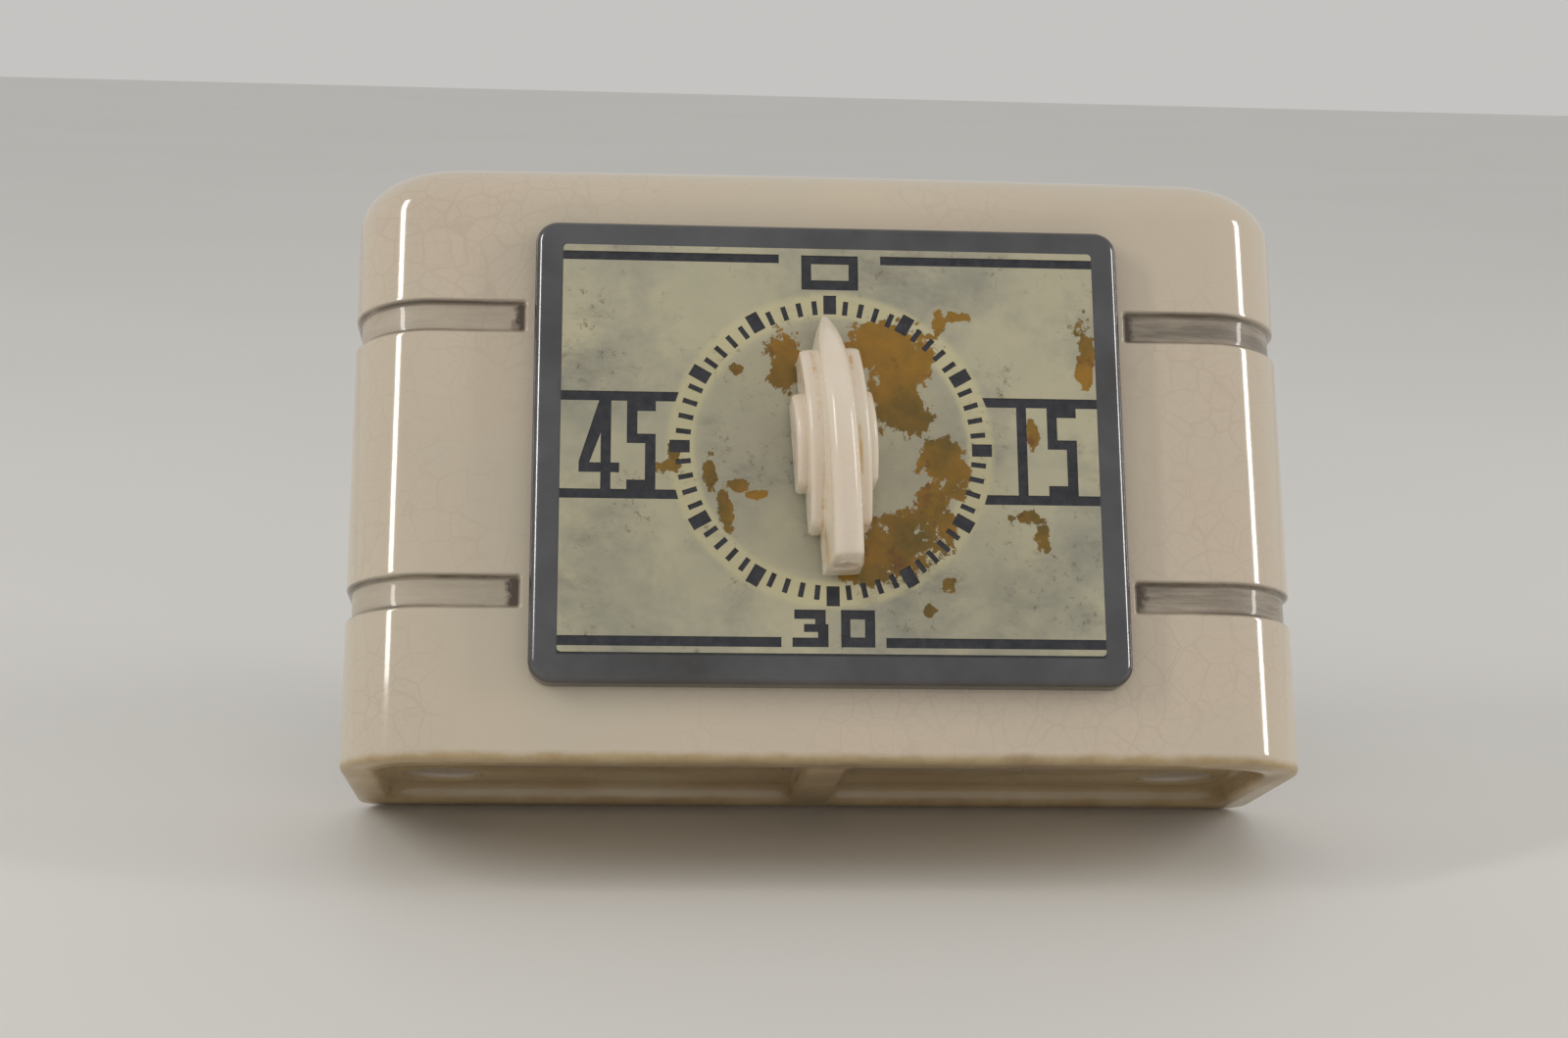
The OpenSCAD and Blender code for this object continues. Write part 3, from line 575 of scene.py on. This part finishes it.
class Paint:
    """A small helper that builds one procedural material on Object coordinates."""

    def __init__(self, name, color, metallic=0.0, roughness=0.4):
        self.material = bpy.data.materials.new(name)
        self.material.use_nodes = True
        self.nodes = self.material.node_tree.nodes
        self.wire = self.material.node_tree.links.new
        self.shader = self.nodes["Principled BSDF"]
        self.put("Base Color", (*color, 1))
        self.put("Metallic", metallic)
        self.put("Roughness", roughness)
        self.place = self.nodes.new("ShaderNodeTexCoord").outputs["Object"]

    def put(self, socket, value):
        self.shader.inputs[socket].default_value = value

    def stretched(self, scale):
        node = self.nodes.new("ShaderNodeMapping")
        node.inputs["Scale"].default_value = scale
        self.wire(self.place, node.inputs["Vector"])
        return node.outputs[0]

    def noise(self, scale, detail=4, rough=0.55, place=None, distortion=0.0):
        node = self.nodes.new("ShaderNodeTexNoise")
        node.inputs["Scale"].default_value = scale
        node.inputs["Detail"].default_value = detail
        node.inputs["Roughness"].default_value = rough
        node.inputs["Distortion"].default_value = distortion
        self.wire(place or self.place, node.inputs["Vector"])
        return node.outputs["Fac"]

    def cells(self, scale, feature="F1", place=None):
        node = self.nodes.new("ShaderNodeTexVoronoi")
        node.feature = feature
        node.inputs["Scale"].default_value = scale
        self.wire(place or self.place, node.inputs["Vector"])
        return node.outputs["Distance"]

    def ramp(self, value, low, high, to_low=0.0, to_high=1.0, soft=False):
        node = self.nodes.new("ShaderNodeMapRange")
        if soft:
            node.interpolation_type = "SMOOTHSTEP"
        for name, number in (("From Min", low), ("From Max", high),
                             ("To Min", to_low), ("To Max", to_high)):
            node.inputs[name].default_value = number
        self.wire(value, node.inputs["Value"])
        return node.outputs["Result"]

    def maths(self, operation, a, b=0.0, clamp=False):
        node = self.nodes.new("ShaderNodeMath")
        node.operation = operation
        node.use_clamp = clamp
        for index, value in enumerate((a, b)):
            if isinstance(value, (int, float)):
                node.inputs[index].default_value = value
            else:
                self.wire(value, node.inputs[index])
        return node.outputs[0]

    def xyz(self, place=None):
        node = self.nodes.new("ShaderNodeSeparateXYZ")
        self.wire(place or self.place, node.inputs[0])
        return node.outputs

    def mix(self, amount, a, b):
        node = self.nodes.new("ShaderNodeMix")
        node.data_type = "RGBA"
        self.wire(amount, node.inputs["Factor"])
        for socket, value in (("A", a), ("B", b)):
            slot = [s for s in node.inputs if s.name == socket and s.type == "RGBA"][0]
            if isinstance(value, tuple):
                slot.default_value = (*value, 1)
            else:
                self.wire(value, slot)
        return [s for s in node.outputs if s.type == "RGBA"][0]

    def colour(self, value):
        self.wire(value, self.shader.inputs["Base Color"])

    def rough(self, value):
        self.wire(value, self.shader.inputs["Roughness"])

    def bump(self, height, distance, strength=1.0):
        node = self.nodes.new("ShaderNodeBump")
        node.inputs["Strength"].default_value = strength
        node.inputs["Distance"].default_value = distance
        self.wire(height, node.inputs["Height"])
        self.wire(node.outputs[0], self.shader.inputs["Normal"])


def spot(paint, x, z, rx, rz):
    """1 at a place on the dial, falling to 0 at an oval's edge and below beyond it."""
    axes = paint.xyz()
    dx = paint.maths("DIVIDE", paint.maths("SUBTRACT", axes[0], x * MM), rx * MM)
    dz = paint.maths("DIVIDE", paint.maths("SUBTRACT", axes[2], (DIAL_Z + z) * MM), rz * MM)
    square = paint.maths("ADD", paint.maths("MULTIPLY", dx, dx), paint.maths("MULTIPLY", dz, dz))
    return paint.maths("SUBTRACT", 1.0, paint.maths("SQRT", square))


def union_of(paint, values):
    best = values[0]
    for value in values[1:]:
        best = paint.maths("MAXIMUM", best, value)
    return best


GLAZE = (0.66, 0.575, 0.46)
CLAY = (0.43, 0.30, 0.14)


def glaze_material():
    """Cream glaze: fine crazing, mottling, pin specks, grooves with grime and painted shade, bare clay on the
    foot, painted shade with warm floor light in the foot recess.
    """
    p = Paint("cream_glaze", GLAZE, roughness=0.1)
    p.put("Coat Weight", 0.6)
    p.put("Coat Roughness", 0.04)
    axes = p.xyz()
    mottled = p.mix(p.ramp(p.noise(38, 5), 0.35, 0.68), (0.615, 0.54, 0.42), (0.66, 0.565, 0.43))
    pinkish = p.mix(p.ramp(p.noise(14, 3), 0.42, 0.62, 0.0, 0.75), mottled, (0.645, 0.54, 0.42))
    warp = p.nodes.new("ShaderNodeVectorMath")
    warp.operation = "MULTIPLY_ADD"
    grain = p.nodes.new("ShaderNodeTexNoise")
    grain.inputs["Scale"].default_value = 120
    p.wire(p.place, grain.inputs["Vector"])
    p.wire(grain.outputs["Color"], warp.inputs[0])
    warp.inputs[1].default_value = (0.004, 0.004, 0.004)
    p.wire(p.place, warp.inputs[2])
    warped = warp.outputs[0]
    wide = p.ramp(p.cells(225, "DISTANCE_TO_EDGE", warped), 0.0, 0.055, 1.0, 0.0)
    fine = p.ramp(p.cells(420, "DISTANCE_TO_EDGE", warped), 0.0, 0.06, 1.0, 0.0)
    where = p.ramp(p.noise(30, 4), 0.42, 0.62)
    craze = p.maths("MAXIMUM", p.maths("MULTIPLY", wide, p.maths("MULTIPLY", where, 0.2)),
                    p.maths("MULTIPLY", fine, p.maths("MULTIPLY", where, 0.12)))
    crazed = p.mix(craze, pinkish, (0.40, 0.30, 0.22))
    pins = p.ramp(p.cells(260), 0.0, 0.09, 1.0, 0.0)
    pin_where = p.ramp(p.noise(210, 2), 0.6, 0.68)
    specked = p.mix(p.maths("MULTIPLY", p.maths("MULTIPLY", pins, pin_where), 0.55), crazed,
                    (0.20, 0.14, 0.09))
    # Grooves: a band of grime round each front corner, with painted shade on it: stronger on the right-hand
    # side, darkest at the ends and lips.
    height = p.maths("ABSOLUTE", p.maths("SUBTRACT", axes[2], DIAL_Z * MM))
    off = p.maths("ABSOLUTE", p.maths("SUBTRACT", height, GROOVE_Z * MM))
    band = p.ramp(off, 1.75 * MM, 2.75 * MM, 1.0, 0.0, soft=True)
    side = p.maths("ABSOLUTE", axes[0])
    past_end = p.ramp(side, (GROOVE_START - 0.3) * MM, (GROOVE_START + 0.3) * MM)
    groove = p.maths("MULTIPLY", band, past_end)
    streak = p.noise(60, 6, 0.7, place=p.stretched((0.6, 0.6, 6.0)))
    # Painted shade: the grooves on the right are made darker than those on the left.
    right_side = p.ramp(axes[0], -1 * MM, 1 * MM, 0.4, 1.0)
    grime_and_shade = p.maths("MULTIPLY", p.maths("MULTIPLY", groove, right_side), p.ramp(streak, 0.3, 0.6, 0.3, 1.0))
    grimy_and_shaded = p.mix(grime_and_shade, specked, (0.20, 0.165, 0.125))
    # Painted shade with grime: darkest at the groove ends and along the lips.
    wander = p.maths("MULTIPLY", p.maths("SUBTRACT", p.noise(300, 5, 0.7), 0.5), 5 * MM)
    ragged_side = p.maths("ADD", side, wander)
    end_dark = p.maths("MULTIPLY", groove, p.ramp(ragged_side, 48.2 * MM, 49.4 * MM, 1.0, 0.0))
    lip = p.maths("MULTIPLY", p.ramp(off, 1.7 * MM, 2.3 * MM), p.ramp(off, 2.3 * MM, 2.9 * MM, 1.0, 0.0))
    lip_dark = p.maths("MULTIPLY", p.maths("MULTIPLY", lip, past_end), p.ramp(streak, 0.33, 0.55, 0.2, 0.95))
    ended = p.mix(p.maths("MAXIMUM", end_dark, lip_dark), grimy_and_shaded, (0.075, 0.05, 0.03))
    # Foot: the glaze stops in an uneven line just above the ground.
    rag = p.maths("ADD", axes[2], p.maths("MULTIPLY", p.maths("SUBTRACT", p.noise(220, 4), 0.5), 1.4 * MM))
    bare = p.ramp(rag, 0.3 * MM, 1.5 * MM, 1.0, 0.0, soft=True)
    clay = p.mix(p.ramp(p.noise(160, 6, 0.7), 0.3, 0.7), CLAY, (0.56, 0.43, 0.25))
    stained = p.mix(p.ramp(p.noise(45, 5), 0.5, 0.66, 0.0, 0.6), clay, (0.30, 0.20, 0.10))
    # Painted shade with warm bounce light from the floor: the foot recess is coloured tan, though its surface
    # stays glossy glaze.
    pocket = p.ramp(axes[2], (RECESS + 0.3) * MM, (RECESS + 0.8) * MM, 1.0, 0.0)
    within = p.ramp(side, (CASE_W / 2 - RIM_SIDE + 0.2) * MM, (CASE_W / 2 - RIM_SIDE + 1.0) * MM, 1.0, 0.0)
    depth_in = p.ramp(axes[1], (FRONT_Y + RIM_FRONT - 1.0) * MM, (FRONT_Y + RIM_FRONT) * MM)
    hollow = p.maths("MULTIPLY", pocket, p.maths("MULTIPLY", within, depth_in))
    recess_bounce_shade = p.mix(p.ramp(p.noise(32, 4), 0.35, 0.65), (0.42, 0.28, 0.12), (0.56, 0.44, 0.26))
    lined = p.mix(p.maths("MULTIPLY", hollow, 0.85), ended, recess_bounce_shade)
    p.colour(p.mix(bare, lined, stained))
    dull = p.maths("MAXIMUM", bare, p.maths("MULTIPLY", groove, 0.55))
    p.rough(p.ramp(dull, 0, 1, 0.1, 0.75))
    relief = p.maths("SUBTRACT", p.maths("MULTIPLY", p.noise(26, 3), 1.0), p.maths("MULTIPLY", craze, 0.05))
    p.bump(relief, 0.35 * MM, 0.25)
    return p.material


def plate_material():
    """Plated sheet: brushed border, its colour kept dark all over as a painted reflection of a dark room,
    darkest in the bare metal inside the enamel's edges.
    """
    p = Paint("plated_sheet", (0.24, 0.24, 0.245), metallic=1.0, roughness=0.3)
    axes = p.xyz()
    x = p.maths("ABSOLUTE", axes[0])
    z = p.maths("ABSOLUTE", p.maths("SUBTRACT", axes[2], DIAL_Z * MM))
    inside = p.maths("MULTIPLY", p.ramp(x, 41.3 * MM, 41.6 * MM, 1.0, 0.0),
                     p.ramp(z, 32.3 * MM, 32.6 * MM, 1.0, 0.0))
    scratch = p.noise(900, 5, 0.7, place=p.stretched((0.25, 1.0, 1.0)))
    cloud = p.noise(55, 5, 0.6)
    # Painted reflection: the border's colour is a dark grey standing in for a dark room seen in the metal,
    # cloudy at random.
    border = p.mix(p.ramp(cloud, 0.35, 0.7), (0.17, 0.17, 0.178), (0.11, 0.108, 0.108))
    spots = p.maths("MULTIPLY", p.ramp(p.cells(330), 0.0, 0.12, 1.0, 0.0), p.ramp(p.noise(80, 3), 0.55, 0.66))
    pitted_and_dark_reflection = p.mix(p.maths("MULTIPLY", spots, 0.8), border, (0.10, 0.06, 0.03))
    # Painted reflection: the bare metal of the figures is made nearly black, standing in for a dark room
    # reflected in it.
    figures = p.mix(p.ramp(p.noise(500, 6, 0.75), 0.35, 0.7), (0.055, 0.058, 0.066), (0.10, 0.10, 0.11))
    p.colour(p.mix(inside, pitted_and_dark_reflection, figures))
    p.rough(p.maths("ADD", p.ramp(scratch, 0.3, 0.7, 0.12, 0.24), p.maths("MULTIPLY", inside, 0.25)))
    p.bump(scratch, 0.02 * MM, 0.35)
    return p.material


# Worn patches round the knob: place, half width and half height on the dial.
WORN = [(8.5, 16.2, 7.0, 4.6), (13.0, 13.6, 3.6, 2.4), (10.0, 8.8, 4.2, 6.0), (13.0, 4.5, 2.6, 3.4),
        (16.2, -1.6, 3.4, 4.4), (19.2, -3.0, 2.6, 4.0), (15.6, -8.6, 2.4, 3.8), (17.6, -12.0, 1.6, 3.0),
        (10.0, -14.8, 6.6, 5.0), (5.0, -19.8, 4.2, 1.8), (-6.9, 14.4, 2.6, 4.6), (-7.4, 11.6, 2.2, 2.4),
        (-18.6, -4.2, 1.1, 3.0), (-16.2, -10.0, 1.3, 3.4), (-14.2, -6.0, 2.0, 1.3), (-11.6, -7.6, 1.7, 1.1),
        (-25.0, -3.2, 2.4, 1.2), (-24.0, -1.2, 1.0, 1.8), (40.0, 15.0, 1.6, 6.0), (30.0, -10.6, 2.2, 1.2),
        (32.3, -14.0, 1.3, 1.8), (20.0, 21.6, 2.4, 0.9), (17.0, 20.6, 1.2, 2.2), (17.8, -21.2, 1.2, 1.4),
        (31.2, 2.5, 0.8, 2.6), (14.6, -25.6, 0.9, 1.0), (-14.4, 12.6, 1.2, 0.9)]


def enamel_material():
    """Cream enamel, grey with handling, worn through to amber brown metal."""
    p = Paint("cream_enamel", (0.55, 0.50, 0.36), roughness=0.38)
    cream = p.mix(p.ramp(p.noise(70, 5, 0.6), 0.35, 0.65), (0.53, 0.49, 0.335), (0.46, 0.435, 0.31))
    greyed = p.mix(p.ramp(p.noise(45, 6, 0.65), 0.46, 0.66, 0.0, 0.85), cream, (0.30, 0.29, 0.235))
    axes = p.xyz()
    dz = p.maths("SUBTRACT", axes[2], DIAL_Z * MM)
    square = p.maths("ADD", p.maths("MULTIPLY", axes[0], axes[0]), p.maths("MULTIPLY", dz, dz))
    radius = p.maths("SQRT", square)
    rim = p.maths("MULTIPLY", p.ramp(radius, 20.6 * MM, 21.4 * MM),
                  p.ramp(radius, 24.6 * MM, 25.6 * MM, 1.0, 0.0))
    yellowed = p.mix(p.maths("MULTIPLY", rim, 0.8), greyed, (0.60, 0.55, 0.33))
    inner = p.ramp(radius, 19.5 * MM, 21.0 * MM, 1.0, 0.0)
    rubbed = p.mix(p.maths("MULTIPLY", inner, p.ramp(p.noise(60, 4), 0.3, 0.6, 0.25, 0.7)), yellowed,
                   (0.39, 0.37, 0.275))
    ragged = p.noise(430, 8, 0.75)
    broad = p.noise(150, 4, 0.6)
    worn_field = union_of(p, [spot(p, *place) for place in WORN])
    pull = p.maths("ADD", p.maths("MULTIPLY", p.maths("SUBTRACT", ragged, 0.5), 3.2),
                   p.maths("MULTIPLY", p.maths("SUBTRACT", broad, 0.5), 1.7))
    worn = p.ramp(p.maths("ADD", worn_field, pull), 0.0, 0.07)
    flecks = p.maths("MULTIPLY", p.ramp(p.noise(700, 7, 0.8), 0.57, 0.64),
                     p.ramp(p.noise(85, 4, 0.6), 0.47, 0.6))
    smudge = p.maths("MULTIPLY", p.ramp(p.noise(260, 6, 0.7, place=p.stretched((0.4, 1.0, 1.0))), 0.5, 0.7),
                     p.ramp(p.noise(42, 4, 0.6), 0.45, 0.62))
    smudged = p.mix(p.maths("MULTIPLY", smudge, 0.6), rubbed, (0.21, 0.195, 0.16))
    stain = p.mix(p.maths("MULTIPLY", flecks, 0.75), smudged, (0.13, 0.095, 0.055))
    amber = p.mix(p.ramp(p.noise(80, 5, 0.65), 0.38, 0.62), (0.33, 0.165, 0.012), (0.145, 0.095, 0.012))
    rusty = p.mix(p.ramp(p.noise(180, 5, 0.7), 0.56, 0.68, 0.0, 0.8), amber, (0.11, 0.04, 0.012))
    rim_line = p.ramp(p.maths("ABSOLUTE", p.maths("SUBTRACT", p.maths("ADD", worn_field, pull), 0.0)),
                      0.0, 0.12, 0.55, 0.0)
    lined = p.mix(rim_line, stain, (0.52, 0.49, 0.36))
    p.colour(p.mix(worn, lined, rusty))
    p.rough(p.ramp(worn, 0, 1, 0.36, 0.3))
    p.bump(p.maths("SUBTRACT", p.maths("MULTIPLY", p.noise(240, 4), 0.25), worn), 0.05 * MM, 0.6)
    return p.material


def ivory_material():
    p = Paint("ivory_plastic", (0.78, 0.68, 0.54), roughness=0.2)
    p.put("Coat Weight", 0.35)
    p.put("Coat Roughness", 0.12)
    p.put("Subsurface Weight", 0.12)
    p.put("Subsurface Radius", (0.002, 0.0013, 0.0008))
    p.put("Subsurface Scale", 1.0)
    clouds = p.mix(p.ramp(p.noise(90, 4), 0.35, 0.65), (0.84, 0.75, 0.62), (0.82, 0.69, 0.55))
    axes = p.xyz()
    across = p.maths("ADD", p.maths("MULTIPLY", axes[0], math.cos(KNOB_TURN)),
                     p.maths("MULTIPLY", p.maths("SUBTRACT", axes[2], DIAL_Z * MM), math.sin(KNOB_TURN)))
    seam = p.maths("ABSOLUTE", p.maths("SUBTRACT", p.maths("ABSOLUTE", across), CREST_HALF * MM))
    close = p.ramp(seam, 0.05 * MM, 0.5 * MM, 1.0, 0.0)
    patchy = p.ramp(p.noise(230, 5, 0.7, place=p.stretched((1.0, 1.0, 0.6))), 0.48, 0.62)
    stain = p.mix(p.maths("MULTIPLY", p.maths("MULTIPLY", close, patchy), 0.85), clouds, (0.62, 0.36, 0.07))
    p.colour(stain)
    p.rough(p.ramp(p.noise(300, 4), 0.3, 0.7, 0.17, 0.3))
    p.bump(p.noise(55, 3), 0.1 * MM, 0.2)
    return p.material


def metal_material(name, bright, dull, low, high, scale=(1, 1, 1)):
    """Worked metal: cloudy colour and fine marks along one direction."""
    p = Paint(name, bright, metallic=1.0, roughness=(low + high) / 2)
    p.colour(p.mix(p.ramp(p.noise(130, 5, 0.6), 0.35, 0.68), bright, dull))
    marks = p.noise(1200, 4, 0.7, place=p.stretched(scale))
    p.rough(p.ramp(marks, 0.3, 0.7, low, high))
    p.bump(marks, 0.015 * MM, 0.3)
    return p.material


def lacquer_material():
    p = Paint("grey_lacquer", (0.26, 0.255, 0.245), roughness=0.5)
    p.colour(p.mix(p.ramp(p.noise(90, 6, 0.65), 0.4, 0.66), (0.30, 0.295, 0.28), (0.20, 0.195, 0.185)))
    p.rough(p.ramp(p.noise(420, 4), 0.3, 0.7, 0.38, 0.6))
    p.bump(p.noise(900, 3), 0.03 * MM, 0.35)
    return p.material


def fibre_material():
    p = Paint("pressed_fibre", (0.26, 0.17, 0.10), roughness=0.8)
    p.colour(p.mix(p.ramp(p.noise(600, 6, 0.7), 0.35, 0.65), (0.32, 0.22, 0.13), (0.18, 0.11, 0.06)))
    p.bump(p.noise(1500, 4), 0.05 * MM, 0.5)
    return p.material


def floor_material():
    p = Paint("pale_board", (0.78, 0.77, 0.74), roughness=0.6)
    p.colour(p.mix(p.ramp(p.noise(6, 3), 0.35, 0.65, 0.0, 0.35), (0.78, 0.77, 0.745), (0.74, 0.73, 0.70)))
    return p.material


BY_SLOT = {
    "brass": metal_material("turned_brass", (0.62, 0.45, 0.19), (0.46, 0.32, 0.13), 0.22, 0.4, (1, 0.1, 1)),
    "brass_plate": metal_material("rolled_brass", (0.66, 0.50, 0.23), (0.50, 0.37, 0.16), 0.25, 0.45,
                                  (0.08, 1, 1)),
    "steel": metal_material("machined_steel", (0.56, 0.56, 0.55), (0.40, 0.395, 0.385), 0.22, 0.4,
                            (1, 0.1, 1)),
    "spring_steel": metal_material("blued_steel", (0.16, 0.18, 0.24), (0.11, 0.115, 0.14), 0.2, 0.36),
    "bell_metal": metal_material("nickelled_bell", (0.60, 0.57, 0.52), (0.48, 0.45, 0.40), 0.16, 0.3),
    "cover_steel": lacquer_material(),
    "fibre": fibre_material(),
}


def dress(obj, material):
    obj.data.materials.clear()
    obj.data.materials.append(material)
    return obj


def dress_cad_nodes():
    slots = {s["node"]: s["material_slot"] for s in frame["record"]["subparts"]}
    for name, node in frame["nodes"].items():
        if slots[name] in BY_SLOT:
            dress(node, BY_SLOT[slots[name]])
            node.data.shade_smooth()
            node.data.set_sharp_from_angle(angle=math.radians(30))


# -------------------------------------------------------------------- scene

VIEW_LENS = 56.81
VIEW_SENSOR = 36.0
VIEW_AIM = (-7.08, -24.5, 37.28)
VIEW_DISTANCE = 379.3
VIEW_LEFT = math.radians(4.274)
VIEW_RISE = math.radians(-14.947)
VIEW_ROLL = math.radians(-0.372)


def make_camera():
    """The camera stands in front, a little to the left and low, as the case leans back."""
    level = math.cos(VIEW_RISE)
    back = Vector((-math.sin(VIEW_LEFT) * level, -math.cos(VIEW_LEFT) * level, math.sin(VIEW_RISE)))
    flat = Vector((math.cos(VIEW_LEFT), -math.sin(VIEW_LEFT), 0))
    right = flat * math.cos(VIEW_ROLL) + back.cross(flat) * math.sin(VIEW_ROLL)
    up = back.cross(right)
    place = (Vector(VIEW_AIM) + back * VIEW_DISTANCE) * MM
    data = bpy.data.cameras.new("camera")
    data.lens = VIEW_LENS
    data.sensor_width = VIEW_SENSOR
    data.clip_start = 0.01
    camera = link(bpy.data.objects.new("camera", data))
    turn = Matrix((right, up, back)).transposed().to_4x4()
    camera.matrix_world = Matrix.Translation(place) @ turn
    bpy.context.scene.camera = camera


LEAN = math.radians(26.95)
FLOOR_LIFT = 0.28


def make_floor():
    """A pale board under the leaning case, touching its lower rear edge."""
    size = 3.0
    turn = Euler((LEAN, 0, 0)).to_matrix().to_4x4()
    corners = [(-size, -size, 0), (size, -size, 0), (size, size, 0), (-size, size, 0)]
    mesh = bpy.data.meshes.new("floor")
    mesh.from_pydata([Vector(c) for c in corners], [], [(0, 1, 2, 3)])
    mesh.transform(Matrix.Translation(Vector((0, BACK_Y, FLOOR_LIFT)) * MM) @ turn)
    board = link(bpy.data.objects.new("floor", mesh))
    dress(board, floor_material())


def area_light(name, place, aim, size, power, color=(1, 1, 1)):
    data = bpy.data.lights.new(name, "AREA")
    data.shape = "RECTANGLE"
    data.size, data.size_y = size
    data.energy = power
    data.color = color
    lamp = link(bpy.data.objects.new(name, data))
    lamp.location = Vector(place)
    lamp.rotation_euler = (Vector(aim) - lamp.location).to_track_quat("-Z", "Y").to_euler()
    return lamp


def make_lights():
    centre = (0, 0, 0.05)
    area_light("key_left", (-0.75, -0.45, 0.42), centre, (0.10, 0.5), 1.9, (1.0, 0.97, 0.92))
    area_light("key_right", (0.85, -0.35, 0.30), centre, (0.10, 0.5), 1.9, (1.0, 0.97, 0.92))
    world = bpy.data.worlds.new("studio")
    world.use_nodes = True
    background = world.node_tree.nodes["Background"]
    background.inputs["Color"].default_value = (0.80, 0.79, 0.77, 1)
    background.inputs["Strength"].default_value = 0.7
    bpy.context.scene.world = world


def main():
    bpy.context.scene.view_settings.view_transform = "Standard"
    make_camera()
    make_floor()
    make_lights()
    dress_cad_nodes()

    case = dress(make_case(), glaze_material())
    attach(case, "root")
    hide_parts("ceramic_case")

    plate = dress(make_dial_plate(), plate_material())
    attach(plate, "root")
    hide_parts("dial_plate")

    enamel = dress(make_enamel(), enamel_material())
    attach(enamel, "root")

    knob = dress(make_knob(), ivory_material())
    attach(knob, "winding")
    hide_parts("knob")


main()
